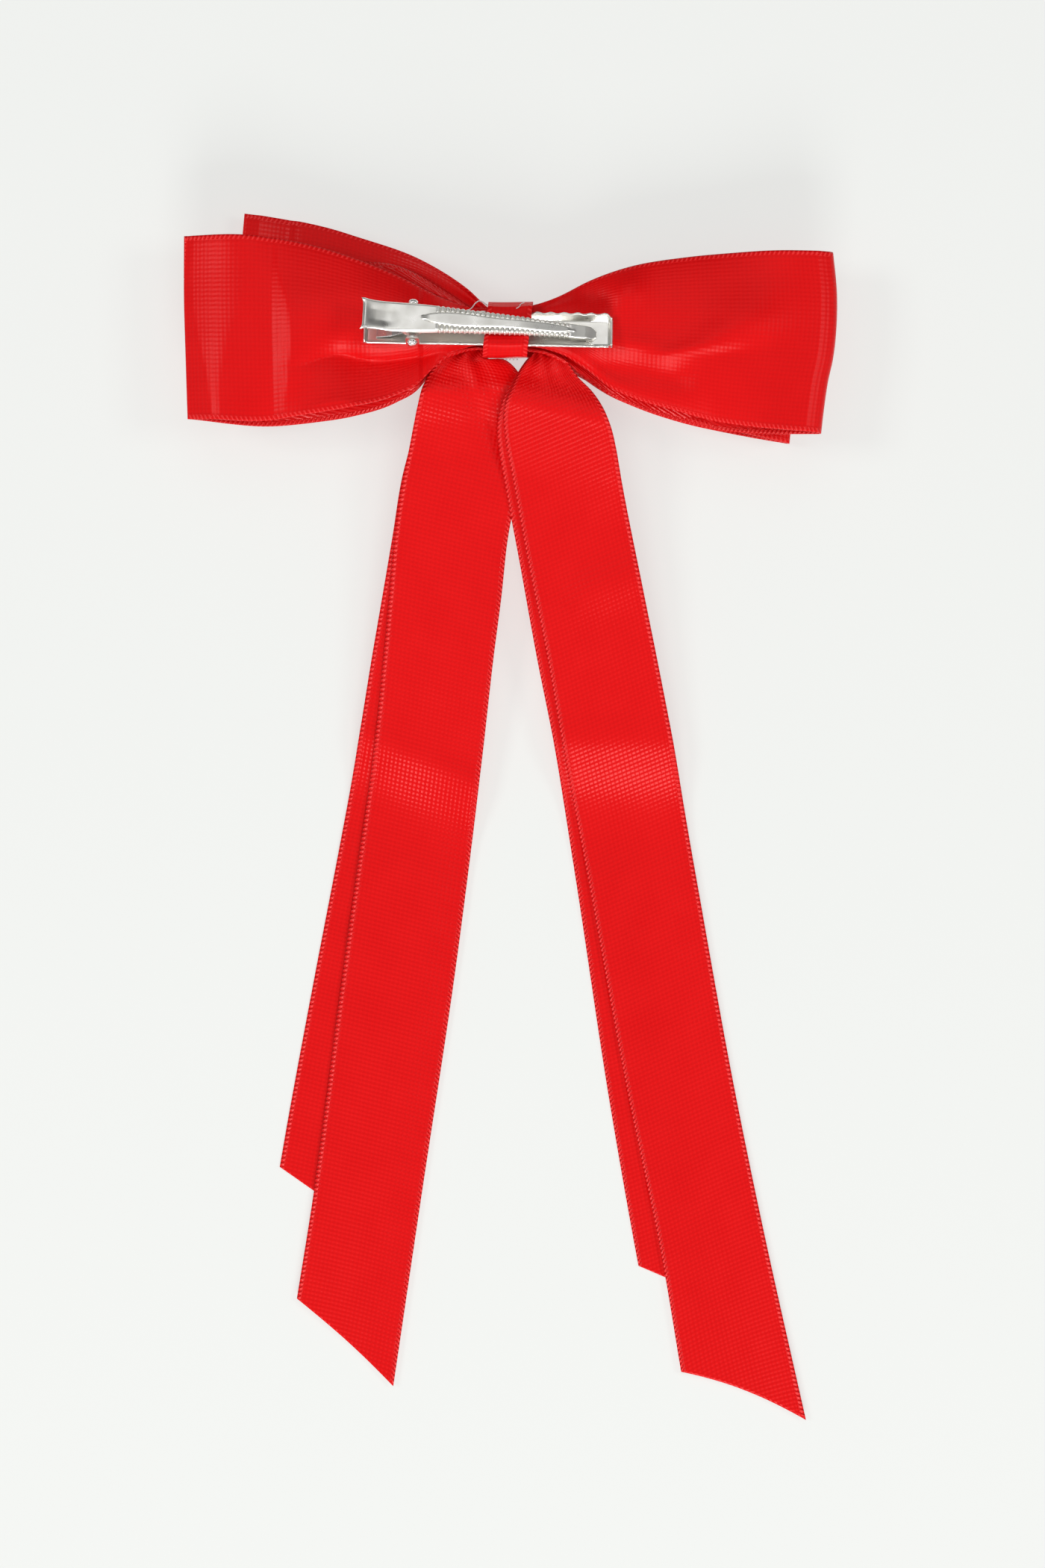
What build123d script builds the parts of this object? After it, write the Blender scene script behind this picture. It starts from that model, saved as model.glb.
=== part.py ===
"""Satin hair bow with long tails on a sprung alligator clip.

Millimetres. The bow lies face down on a table: the clip is on top, the tails run towards -Y.
It is built about the knot, then moved so that the origin is under the middle of the whole bow.
"""
from build123d import *
import math
import os

# Ribbon stock
RIBBON_T = 0.4
WRAP_RIBBON = 10.0
PLY_GAP = 0.3

# Heights of the ribbon middles above the table
SMALL_FRONT, SMALL_BACK, SMALL_END = 0.2, 9.0, 4.4
LARGE_FRONT, LARGE_BACK, LARGE_END = 10.4, 20.4, 17.2
KNOT_SMALL_FRONT, KNOT_SMALL_BACK = 12.6, 14.0
KNOT_LARGE_FRONT = 17.6
FOLD_HALF = 0.7

# The small bow is turned clockwise and sits a little high
SMALL_TURN = -5.3

# Knot
KNOT_HALF = 5.4
WRAP_SIDE = 6.0
THREAD_D, THREAD_FLAT = 0.4, 0.1
THREAD_TURNS = 5
THREAD_PITCH = 0.8

# Tails: the pair on the right lies over the pair on the left
TAIL_TABLE = 0.2
TAIL_KNOT = 14.75
TAIL_PIVOT_X, TAIL_PIVOT_Y = 6.0, -4.0

# Alligator clip
SHEET_T = 0.5
CLIP_FRONT, CLIP_REAR = 23.4, -32.6
CLIP_AT = (0.0, -0.5, 21.65)
CLIP_ROLL, CLIP_YAW, PRONG_YAW = -14.0, -0.9, -1.5
FLOOR_HALF = 3.0
WALL_TOP_Y, WALL_TOP = 3.7, 2.5
WAVE_PITCH, WAVE_DEPTH = 3.0, 0.45
PIN_X, PIN_Z, PIN_R = -21.4, 4.6, 0.75
PIN_HEAD_R, PIN_HEAD_IN, PIN_HEAD_OUT = 1.15, 4.3, 5.4
EAR_IN = 3.65
PRONG_EAR_IN = 2.6
RUNNING = 0.07
PRONG_ARCH = [(5.0, 1.9), (24.0, 0.1), (38.2, -2.4)]
TOOTH_COUNT, TOOTH_PITCH = 24, 1.1


def band(*points, radius, close=False):
    """Ribbon or strip section: a filleted line given the stock's thickness on its own plane."""
    path = FilletPolyline(*points, radius=radius, close=close)
    return trace(path, line_width=RIBBON_T)


def ribbon(section, outline):
    """A section in the XZ plane carried across the ribbon and trimmed to its plan outline."""
    strip = extrude(Plane.XZ * section, amount=60, both=True)
    trim = extrude(outline, amount=60, both=True)
    return strip & trim


def bow_outline(top_left, top_right, bottom_right, bottom_left):
    """Plan of a bow: four edges that swell from the knot to the ends, closed by straight folds."""
    edges = [Spline(*top_left), Spline(*top_right), Spline(*bottom_right), Spline(*bottom_left)]
    corners = [Line(edges[i] @ 1, edges[(i + 1) % 4] @ 0) for i in range(4)]
    return make_face(Wire(edges + corners))


def large_bow_ribbon():
    """The wide ribbon nearest the clip, folded into one loop on each side."""
    end, back, front = 72.0, 38.0, (20.0, 36.0, 50.0)
    high, low = LARGE_END + FOLD_HALF, LARGE_END - FOLD_HALF
    section = band(
        (-end, high), (-back, LARGE_BACK), (back, LARGE_BACK), (end, high),
        (end, low), (front[2], LARGE_FRONT), (front[1], LARGE_FRONT), (front[0], KNOT_LARGE_FRONT),
        (-front[0], KNOT_LARGE_FRONT), (-front[1], LARGE_FRONT), (-front[2], LARGE_FRONT), (-end, low),
        radius=[0.6, 60, 60, 0.6, 0.6, 12, 12, 12, 12, 12, 12, 0.6], close=True)
    k = KNOT_HALF
    outline = bow_outline(
        [(-72.4, 21.5), (-50.4, 20.1), (-30.4, 15.1), (-10.5, 6.3), (-6, k)],
        [(6, k), (13.6, 9.0), (26.9, 14.5), (46, 17.2), (72.4, 17.6)],
        [(72.4, -22.4), (52.6, -20.2), (30.0, -13.6), (14.0, -6.4), (6, -k)],
        [(-6, -k), (-16.3, -9.2), (-29.6, -16.2), (-49.5, -19.7), (-72.4, -19.5)])
    return ribbon(section, outline)


def small_bow_ribbon():
    """The front bow, shorter, of the same ribbon, turned a little against the large one."""
    end, back, front = 63.0, (11.0, 30.0, 44.0), (11.0, 34.0, 46.0)
    high, low = SMALL_END + FOLD_HALF, SMALL_END - FOLD_HALF
    half = [(end, high), (back[2], SMALL_BACK), (back[1], SMALL_BACK), (back[0], KNOT_SMALL_BACK)]
    under = [(front[0], KNOT_SMALL_FRONT), (front[1], SMALL_FRONT), (front[2], SMALL_FRONT), (end, low)]
    top = [(-x, z) for x, z in half] + half[::-1]
    bottom = under[::-1] + [(-x, z) for x, z in under]
    radii = [0.6, 12, 12, 12, 12, 12, 12, 0.6]
    section = band(*top, *bottom, radius=radii + radii, close=True)
    k = KNOT_HALF - 0.5
    outline = bow_outline(
        [(-64, 22.3), (-38.8, 19.0), (-21.4, 14.5), (-10.7, 9.0), (-5.6, k)],
        [(5.6, k), (14.4, 9.6), (25.0, 14.6), (42.4, 19.2), (64, 22.3)],
        [(64, -17.7), (42.4, -14.9), (25.0, -10.3), (14.4, -6.4), (5.6, -k)],
        [(-5.6, -k), (-14.4, -6.6), (-25.0, -10.5), (-42.4, -15.0), (-64, -17.7)])
    return Rot(0, 0, SMALL_TURN) * ribbon(section, outline)


def tail(level, leave, land, neck, left_edge, right_edge):
    """One tail: flat inside the knot, down to the table between leave and land, then flat along it.

    Its two long edges run from the knot to the slanting cut that joins their last points.
    """
    table = TAIL_TABLE + (level % 2) * (RIBBON_T + PLY_GAP)
    knot = TAIL_KNOT + level * (RIBBON_T + PLY_GAP)
    section = band((8, knot), (-leave, knot), (-land, table), (-260, table), radius=[14, 30])
    strip = extrude(Plane.YZ * section, amount=100, both=True)
    edges = [Spline(*left_edge), Line(left_edge[-1], right_edge[-1]), Spline(*right_edge)]
    collar = Polyline(right_edge[0], *neck, left_edge[0])
    outline = make_face(Wire(edges + collar.edges()))
    return strip & extrude(outline, amount=60, both=True)


def left_tails():
    """Lower and upper tail on the left. They leave the knot by the wrap's left mouth."""
    neck = [(-5.7, -7.4), (-5.7, -4.6), (-2.2, -3.4), (-2.2, 2.4), (-7.0, 3.6)]
    outer = [(-14.0, -6.5), (-19.6, -13.0), (-23.0, -28.0)]
    inner = [(1.5, -8.6), (4.2, -16.0), (4.0, -28.0)]
    lower = tail(0, 10, 46, neck,
                 outer + [(-32.5, -80.0), (-42.0, -132.0), (-52.7, -188.3)],
                 inner + [(-5.6, -80.0), (-16.0, -132.0), (-28.5, -205.2)])
    upper = tail(1, 10, 46, neck,
                 outer + [(-30.5, -80.0), (-34.5, -127.0), (-48.7, -218.2)],
                 inner + [(-4.8, -80.0), (-9.5, -127.0), (-26.7, -238.2)])
    return {"tail_left_lower": lower, "tail_left_upper": upper}


def right_tails():
    """Lower and upper tail on the right. They cross over the left pair beside the knot."""
    neck = [(7.0, 3.6), (2.2, 2.4), (2.2, -3.4), (5.7, -4.6), (5.7, -7.4)]
    inner = [(3.6, -8.0), (-1.6, -18.9), (-2.2, -28.0)]
    outer = [(13.4, -6.5), (20.0, -14.0), (23.6, -28.0)]
    lower = tail(2, 17, 72, neck,
                 inner + [(8.4, -80.0), (17.6, -126.0), (29.3, -210.9)],
                 outer + [(33.6, -80.0), (42.9, -126.0), (54.0, -221.5)])
    upper = tail(3, 17, 72, neck,
                 inner + [(10.6, -80.0), (20.2, -126.0), (39.0, -234.9)],
                 outer + [(36.0, -80.0), (45.3, -126.0), (67.5, -245.9)])
    return {"tail_right_lower": lower, "tail_right_upper": upper}


def centre_wrap():
    """Narrow ribbon round the knot and the clip's base, passing between the jaws."""
    side, foot = WRAP_SIDE, KNOT_SMALL_FRONT - RIBBON_T - 0.25
    loop = [(-side, foot), (side, foot), (side, 21.0), (4.95, 23.6), (-3.15, 25.5), (-side, 23.0)]
    section = band(*loop, radius=[0.6, 0.6, 3, 0.6, 0.6, 1.5], close=True)
    return extrude(Plane.YZ * section, amount=WRAP_RIBBON / 2, both=True)


def binding_thread():
    """Turns of thread that gather both bows and the tails under the wrap."""
    side = KNOT_HALF + 0.2
    foot, top = KNOT_SMALL_FRONT - 0.35, LARGE_BACK + 0.35
    path = FilletPolyline((-side, foot), (side, foot), (side, top), (-side, top), radius=0.4, close=True)
    turn = extrude(Plane.YZ * trace(path, line_width=THREAD_FLAT), amount=THREAD_D / 2, both=True)
    start = -THREAD_PITCH * (THREAD_TURNS - 1) / 2
    return Compound([Pos(start + i * THREAD_PITCH, 0, 0) * turn for i in range(THREAD_TURNS)])


def clip_place():
    """The clip's own frame: X along it, Z out of its floor, leaning over on the gathered knot."""
    return Pos(*CLIP_AT) * Rot(0, 0, CLIP_YAW) * Rot(CLIP_ROLL, 0, 0)


def prong_place():
    """The hinge frame: origin on the pin's axis, X towards the tip, Y along the pin."""
    return clip_place() * Pos(PIN_X, 0, PIN_Z) * Rot(0, 0, PRONG_YAW)


def cross_pin(radius, half):
    """A cylinder along the hinge axis, in the clip's frame."""
    return Pos(PIN_X, 0, PIN_Z) * Rot(0, 0, PRONG_YAW) * Rot(90, 0, 0) * Cylinder(radius, 2 * half)


def wave_line(start, stop, height):
    """Scalloped edge from start to stop: shallow arcs of one pitch, hung between equal crests."""
    count = round((stop - start) / WAVE_PITCH)
    pitch = (stop - start) / count
    arcs = []
    for i in range(count):
        a, b = start + i * pitch, start + (i + 1) * pitch
        arcs.append(ThreePointArc((a, height), ((a + b) / 2, height - WAVE_DEPTH), (b, height)))
    return arcs


def clip_base():
    """Lower jaw: a pressed channel with scalloped flared walls, two hinge ears and turned-up ends."""
    wall = SHEET_T
    section = trace(
        FilletPolyline((-WALL_TOP_Y, 3.0), (-FLOOR_HALF, wall / 2), (FLOOR_HALF, wall / 2),
                       (WALL_TOP_Y, 3.0), radius=0.5), line_width=wall)
    length = CLIP_FRONT - CLIP_REAR
    channel = Pos(CLIP_REAR, 0, 0) * extrude(Plane.YZ * section, amount=length)
    wave_start, rear_end, rear_top = PIN_X + 3.0, PIN_X - 2.6, 1.5
    waves = wave_line(wave_start, CLIP_FRONT - 1.4, WALL_TOP)
    side = Wire([
        Line((CLIP_REAR, 0), (CLIP_FRONT, 0)),
        Line((CLIP_FRONT, 0), (CLIP_FRONT, 1.4)),
        Line((CLIP_FRONT, 1.4), (CLIP_FRONT - 1.4, WALL_TOP)),
        *waves,
        Line((wave_start, WALL_TOP), (rear_end, rear_top)),
        Line((rear_end, rear_top), (CLIP_REAR + 0.8, rear_top)),
        Line((CLIP_REAR + 0.8, rear_top), (CLIP_REAR, 0.6)),
        Line((CLIP_REAR, 0.6), (CLIP_REAR, 0)),
    ])
    channel = channel & extrude(Plane.XZ * make_face(side), amount=10, both=True)
    ear_plan = Pos(PIN_X, PIN_Z / 2 + 0.15) * Rectangle(4.2, PIN_Z - 0.3) + Pos(PIN_X, PIN_Z) * Circle(2.1)
    ear = extrude(Plane.XZ * ear_plan, amount=wall)
    ears = [Pos(0, EAR_IN + wall, 0) * ear, Pos(0, -EAR_IN, 0) * ear]
    feet = [Pos(PIN_X, s * (FLOOR_HALF + 0.5), 0.45) * Box(4.2, 1.2, 0.5) for s in (-1, 1)]
    front_lip = Pos(CLIP_FRONT - wall / 2, 0, 0.9) * Box(wall, 2 * FLOOR_HALF + 0.6, 1.4)
    rear_lip = Pos(CLIP_REAR + wall / 2, 0, 0.8) * Box(wall, 2 * FLOOR_HALF - 0.4, 1.2)
    base = channel + ears + feet + [front_lip, rear_lip]
    return clip_place() * (base - cross_pin(PIN_R + 0.02, 8))


def prong_height(x):
    """Height of the prong's sheet above the pin's axis, x in front of it."""
    (x0, z0), (x1, z1) = PRONG_ARCH[:2] if x < PRONG_ARCH[1][0] else PRONG_ARCH[1:]
    return z0 + (z1 - z0) * (x - x0) / (x1 - x0)


def clip_prong():
    """Upper jaw: thumb tab, hinge ears, and a ribbed tapering prong with a turned-down tip."""
    spine = FilletPolyline((-11.6, 3.4), (-5.5, 2.0), *PRONG_ARCH, (40.4, -3.7),
                           radius=[10, 14, 60, 1.2])
    plate = extrude(Plane.XZ * trace(spine, line_width=SHEET_T), amount=6, both=True)
    half = [(-11.6, 3.35), (1.0, 3.3), (8.0, 2.8), (33.0, 1.55), (38.8, 1.5)]
    plan = Polyline(*half, (40.4, 0.6), (40.4, -0.6), *[(x, -y) for x, y in half[::-1]], close=True)
    plate = plate & extrude(make_face(plan), amount=20, both=True)
    rib_path = FilletPolyline(*[(x, prong_height(x) + 0.3) for x in (5.0, PRONG_ARCH[1][0], 34.0)], radius=60)
    rib = extrude(Plane.XZ * trace(rib_path, line_width=0.5), amount=0.6, both=True)
    teeth = []
    for i in range(TOOTH_COUNT):
        x = 6.0 + TOOTH_PITCH * i
        y = 2.1 - 0.05 * (x - 6.0)
        teeth += [Pos(x, s * y, prong_height(x) + 0.25) * Box(0.45, 0.9, 0.3) for s in (-1, 1)]
    cheek_plan = Pos(0, 0.3) * Rectangle(4.4, 3.2) + Pos(0, -0.2) * Circle(1.9)
    cheek = extrude(Plane.XZ * cheek_plan, amount=SHEET_T)
    cheeks = [Pos(0, PRONG_EAR_IN + SHEET_T, 0) * cheek, Pos(0, -PRONG_EAR_IN, 0) * cheek]
    hole = Rot(90, 0, 0) * Cylinder(PIN_R + RUNNING, 12)
    return prong_place() * (plate + [rib] + teeth + cheeks - hole)


def hinge_pin():
    """Rivet pin through both pairs of ears, headed at each end."""
    shank = Rot(90, 0, 0) * Cylinder(PIN_R, 2 * PIN_HEAD_OUT)
    head = Rot(90, 0, 0) * Cylinder(PIN_HEAD_R, PIN_HEAD_OUT - PIN_HEAD_IN)
    middle = (PIN_HEAD_IN + PIN_HEAD_OUT) / 2
    return prong_place() * (shank + [Pos(0, s * middle, 0) * head for s in (-1, 1)])


def clip_spring():
    """Torsion spring: a strip coiled round the pin, one leg on the base, one under the thumb tab."""
    coil = Circle(1.4) - Circle(0.95)
    legs = trace(Line((-8.2, -3.7), (-0.5, -1.05)), line_width=0.4)
    legs += trace(Line((-7.6, 1.45), (-0.3, 1.17)), line_width=0.4)
    strip = extrude(Plane.XZ * (coil + legs - Circle(0.95)), amount=1.6, both=True)
    return prong_place() * strip


def glue_pad():
    """Set hot glue that beds the leaning clip base on the knot."""
    slope = math.tan(math.radians(CLIP_ROLL))
    under = CLIP_AT[2] - 0.06
    low, high = under + slope * 2.3, under - slope * 2.8
    floor = LARGE_BACK + RIBBON_T / 2 + 0.25
    wedge = Polyline((-3.3, floor), (1.8, floor), (1.8, low), (-3.3, high), close=True)
    return extrude(Plane.YZ * make_face(wedge), amount=4.5, both=True)


def build():
    """Every piece by node name, still about the knot."""
    parts = {
        "small_bow_ribbon": small_bow_ribbon(),
        "large_bow_ribbon": large_bow_ribbon(),
        "binding_thread": binding_thread(),
        "centre_wrap": centre_wrap(),
        "glue_pad": glue_pad(),
        "clip_base": clip_base(),
        "clip_prong": clip_prong(),
        "clip_spring": clip_spring(),
        "hinge_pin": hinge_pin(),
    }
    parts.update(left_tails())
    parts.update(right_tails())
    return parts


def main():
    """Centre the bow over the origin, write each node and print the places the record needs."""
    parts = build()
    box = Compound([Compound(part.solids()) for part in parts.values()]).bounding_box()
    move = Pos(-box.center().X, -box.center().Y, -box.min.Z)
    os.makedirs("parts", exist_ok=True)
    for name, part in parts.items():
        export_step(move * part, f"parts/{name}.step")
    hinge = move * prong_place()
    axis = hinge * Pos(0, -1, 0)
    print("size", box.size)
    print("knot", move.position)
    print("pin", hinge.position, "opening axis", axis.position - hinge.position)
    for side in (-1, 1):
        print("tail pivot", (move * Pos(side * TAIL_PIVOT_X, TAIL_PIVOT_Y, TAIL_KNOT)).position)
    grip = move * clip_place() * Pos(8.0, 0, 1.5)
    print("hair grip", grip.position)


main()
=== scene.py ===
import math
import bpy
import bmesh
import numpy as np
from mathutils import Matrix, Vector


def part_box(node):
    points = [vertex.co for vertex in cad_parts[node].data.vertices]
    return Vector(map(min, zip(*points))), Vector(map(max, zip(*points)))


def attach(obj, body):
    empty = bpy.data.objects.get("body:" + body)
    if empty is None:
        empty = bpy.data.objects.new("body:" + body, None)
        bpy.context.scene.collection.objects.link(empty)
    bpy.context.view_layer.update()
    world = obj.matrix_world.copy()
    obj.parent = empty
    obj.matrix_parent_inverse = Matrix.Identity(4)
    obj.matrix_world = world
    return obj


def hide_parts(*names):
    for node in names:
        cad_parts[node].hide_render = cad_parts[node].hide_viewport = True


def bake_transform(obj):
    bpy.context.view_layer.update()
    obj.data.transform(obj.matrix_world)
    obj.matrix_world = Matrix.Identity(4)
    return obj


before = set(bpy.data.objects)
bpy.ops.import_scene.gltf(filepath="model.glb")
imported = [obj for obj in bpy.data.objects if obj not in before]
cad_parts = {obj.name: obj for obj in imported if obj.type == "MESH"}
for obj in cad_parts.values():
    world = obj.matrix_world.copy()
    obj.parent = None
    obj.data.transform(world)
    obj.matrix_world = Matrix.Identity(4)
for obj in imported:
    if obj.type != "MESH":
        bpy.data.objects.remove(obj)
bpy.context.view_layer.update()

# ---------------------------------------------------------------- table, light and camera
# The finished bow is laid face down on a pale table under soft lamps and looked at from straight
# above. None of this belongs to the bow. The table glows, which keeps the shadows faint. All sizes
# of the bow are in millimetres from the middle of the knot, on the table top.
MM = 0.001
wrap_low, wrap_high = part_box("centre_wrap")
KNOT = Vector(((wrap_low[0] + wrap_high[0]) / 2, (wrap_low[1] + wrap_high[1]) / 2, 0.0))


def at(x, y, z):
    """A place in metres in the bow's frame."""
    return KNOT + Vector((x, y, z)) * MM


def node(tree, kind, inputs=None, **settings):
    """One shader node with its settings and inputs. An input is a number, a colour or a socket."""
    made = tree.nodes.new(kind)
    for key, value in settings.items():
        setattr(made, key, value)
    for key, value in (inputs or {}).items():
        if isinstance(value, bpy.types.NodeSocket):
            tree.links.new(value, made.inputs[key])
        else:
            made.inputs[key].default_value = value
    return made


def sums(tree, operation, *values, clamp=False):
    """The output of one Math node."""
    made = node(tree, "ShaderNodeMath", dict(enumerate(values)), operation=operation, use_clamp=clamp)
    return made.outputs[0]


def blank_material(name):
    """A material with its Principled shader, ready for its own nodes."""
    made = bpy.data.materials.new(name)
    made.use_nodes = True
    return made, made.node_tree, made.node_tree.nodes["Principled BSDF"]


def table_material():
    """A matt table that gives off a soft white light, with the faintest mottling."""
    made, tree, shader = blank_material("table_top")
    spots = node(tree, "ShaderNodeTexNoise", {"Scale": 14.0, "Detail": 3.0})
    tint = node(tree, "ShaderNodeValToRGB", {"Fac": spots.outputs["Fac"]})
    tint.color_ramp.elements[0].color = (0.285, 0.300, 0.285, 1)
    tint.color_ramp.elements[1].color = (0.300, 0.312, 0.298, 1)
    tree.links.new(tint.outputs["Color"], shader.inputs["Base Color"])
    shader.inputs["Emission Color"].default_value = (1.0, 1.0, 0.985, 1)
    shader.inputs["Emission Strength"].default_value = 0.58
    shader.inputs["Roughness"].default_value = 0.75
    shader.inputs["Specular IOR Level"].default_value = 0.2
    return made


TABLE_HALF, TABLE_Z = 2.0, -0.0001
table_mesh = bpy.data.meshes.new("table_top")
corners = [(TABLE_HALF * x, TABLE_HALF * y, TABLE_Z) for x, y in ((-1, -1), (1, -1), (1, 1), (-1, 1))]
table_mesh.from_pydata(corners, [], [(0, 1, 2, 3)])
table = bpy.data.objects.new("table_top", table_mesh)
table.data.materials.append(table_material())
bpy.context.collection.objects.link(table)


LAMP_AIM = Vector((0, 0.03, 0))


def soft_lamp(name, place, size, power):
    """A square soft box aimed at the tails just below the loops."""
    light = bpy.data.lights.new(name, "AREA")
    light.size = size
    light.energy = power
    lamp = bpy.data.objects.new(name, light)
    lamp.location = place
    lamp.rotation_euler = (LAMP_AIM - lamp.location).to_track_quat("-Z", "Y").to_euler()
    bpy.context.collection.objects.link(lamp)


soft_lamp("lamp_left", Vector((-0.80, 0.20, 0.95)), 0.34, 4.0)
soft_lamp("lamp_right", Vector((0.85, 0.12, 0.9)), 0.34, 2.7)
soft_lamp("lamp_foot", Vector((0.05, -1.10, 0.85)), 0.6, 12.5)
soft_lamp("lamp_head", Vector((0.0, 0.58, 0.88)), 0.6, 1.05)

world = bpy.data.worlds.new("studio")
bpy.context.scene.world = world
world.use_nodes = True
sky = world.node_tree.nodes["Background"]
look = node(world.node_tree, "ShaderNodeTexCoord")
axes = node(world.node_tree, "ShaderNodeSeparateXYZ", {0: look.outputs["Generated"]})
shade = node(world.node_tree, "ShaderNodeValToRGB", {"Fac": axes.outputs["Z"]})
stops = shade.color_ramp.elements
for height in (0.6, 0.86):
    stops.new(height)
for stop, grey in zip(stops, (0.95, 0.42, 0.48, 1.0)):
    stop.color = (grey, grey, grey, 1)
behind = node(world.node_tree, "ShaderNodeMapRange",
              {"Value": axes.outputs["Y"], "From Min": -0.1, "From Max": 0.6, "To Min": 1.0, "To Max": 0.25})
lit_side = node(world.node_tree, "ShaderNodeVectorMath",
                {0: shade.outputs["Color"], 1: behind.outputs[0]}, operation="MULTIPLY")
world.node_tree.links.new(lit_side.outputs[0], sky.inputs["Color"])
sky.inputs["Strength"].default_value = 0.64

CAMERA_HEIGHT, CAMERA_LENS, SENSOR = 700.0, 70.3, 36.0
camera_data = bpy.data.cameras.new("overhead")
camera_data.lens = CAMERA_LENS
camera_data.sensor_width = SENSOR
camera = bpy.data.objects.new("overhead", camera_data)
camera.location = at(2.8, -100.8, CAMERA_HEIGHT)
bpy.context.collection.objects.link(camera)
bpy.context.scene.camera = camera
bpy.context.scene.view_settings.view_transform = "Standard"

# ---------------------------------------------------------------- small front bow
# A 40 mm satin ribbon folded into one loop each side and gathered at the knot. It is the front
# of the finished bow, so it lies lowest, turned clockwise so that its ends peep out.
RIBBON_T = 0.25
WIDE = 40.0


def through(*points):
    """A smooth line through given points: a function of their first coordinate."""
    xs, ys = np.array(points, float).T
    slopes = np.gradient(ys, xs)

    def line(x):
        x = np.clip(x, xs[0], xs[-1])
        i = np.clip(np.searchsorted(xs, x) - 1, 0, len(xs) - 2)
        h = xs[i + 1] - xs[i]
        s = (x - xs[i]) / h
        rise = (3 - 2 * s) * s * s
        return (ys[i] * (1 - rise) + ys[i + 1] * rise
                + h * s * (1 - s) * ((1 - s) * slopes[i] - s * slopes[i + 1]))
    return line


def ease(value, low, high):
    """Smooth step from 0 at low to 1 at high."""
    s = np.clip((value - low) / (high - low), 0, 1)
    return s * s * (3 - 2 * s)


def hill(value, middle, width):
    """A soft bump of height 1."""
    return np.exp(-((value - middle) / width) ** 2)


def settled(piece):
    """The piece with its modifiers worked into its mesh."""
    graph = bpy.context.evaluated_depsgraph_get()
    piece.data = bpy.data.meshes.new_from_object(piece.evaluated_get(graph))
    piece.modifiers.clear()
    return piece


def piece_from(name, mesh, *materials):
    """An object made from a bmesh, which is then freed, with its materials."""
    data = bpy.data.meshes.new(name)
    mesh.to_mesh(data)
    mesh.free()
    piece = bpy.data.objects.new(name, data)
    bpy.context.collection.objects.link(piece)
    for material in materials:
        data.materials.append(material)
    return piece


def grid_piece(name, places, materials, thickness, across=None, along=None, closed=False):
    """A sheet through rows of places, thickened. places[i][j] is row i, column j, in metres.

    Where across and along are given, they are the ribbon's own millimetres, kept for its weave:
    across for each column, along for each row or each place. A closed sheet has one more along.
    """
    rows, columns = places.shape[:2]
    if along is not None and along.ndim == 1:
        along = np.repeat(along[:, None], columns, axis=1)
    mesh = bmesh.new()
    points = [[mesh.verts.new(p) for p in row] for row in places]
    layer = mesh.loops.layers.uv.new("ribbon")
    for i in range(rows if closed else rows - 1):
        k = (i + 1) % rows
        for j in range(columns - 1):
            face = mesh.faces.new((points[i][j], points[i][j + 1], points[k][j + 1], points[k][j]))
            face.smooth = True
            if across is not None:
                for loop, (a, b) in zip(face.loops, ((i, j), (i, j + 1), (i + 1, j + 1), (i + 1, j))):
                    loop[layer].uv = (across[b], along[a, b])
    piece = piece_from(name, mesh, *materials)
    shell = piece.modifiers.new("thickness", "SOLIDIFY")
    shell.thickness = thickness * MM
    shell.offset = 0.0
    if len(materials) > 1:
        shell.material_offset = 1
    return settled(piece)


def steps(places):
    """Distance walked along the middle column of a grid of places, in millimetres."""
    middle = places[:, places.shape[1] // 2]
    walk = np.linalg.norm(np.diff(middle, axis=0), axis=1)
    return np.concatenate([[0], np.cumsum(walk)])


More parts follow.
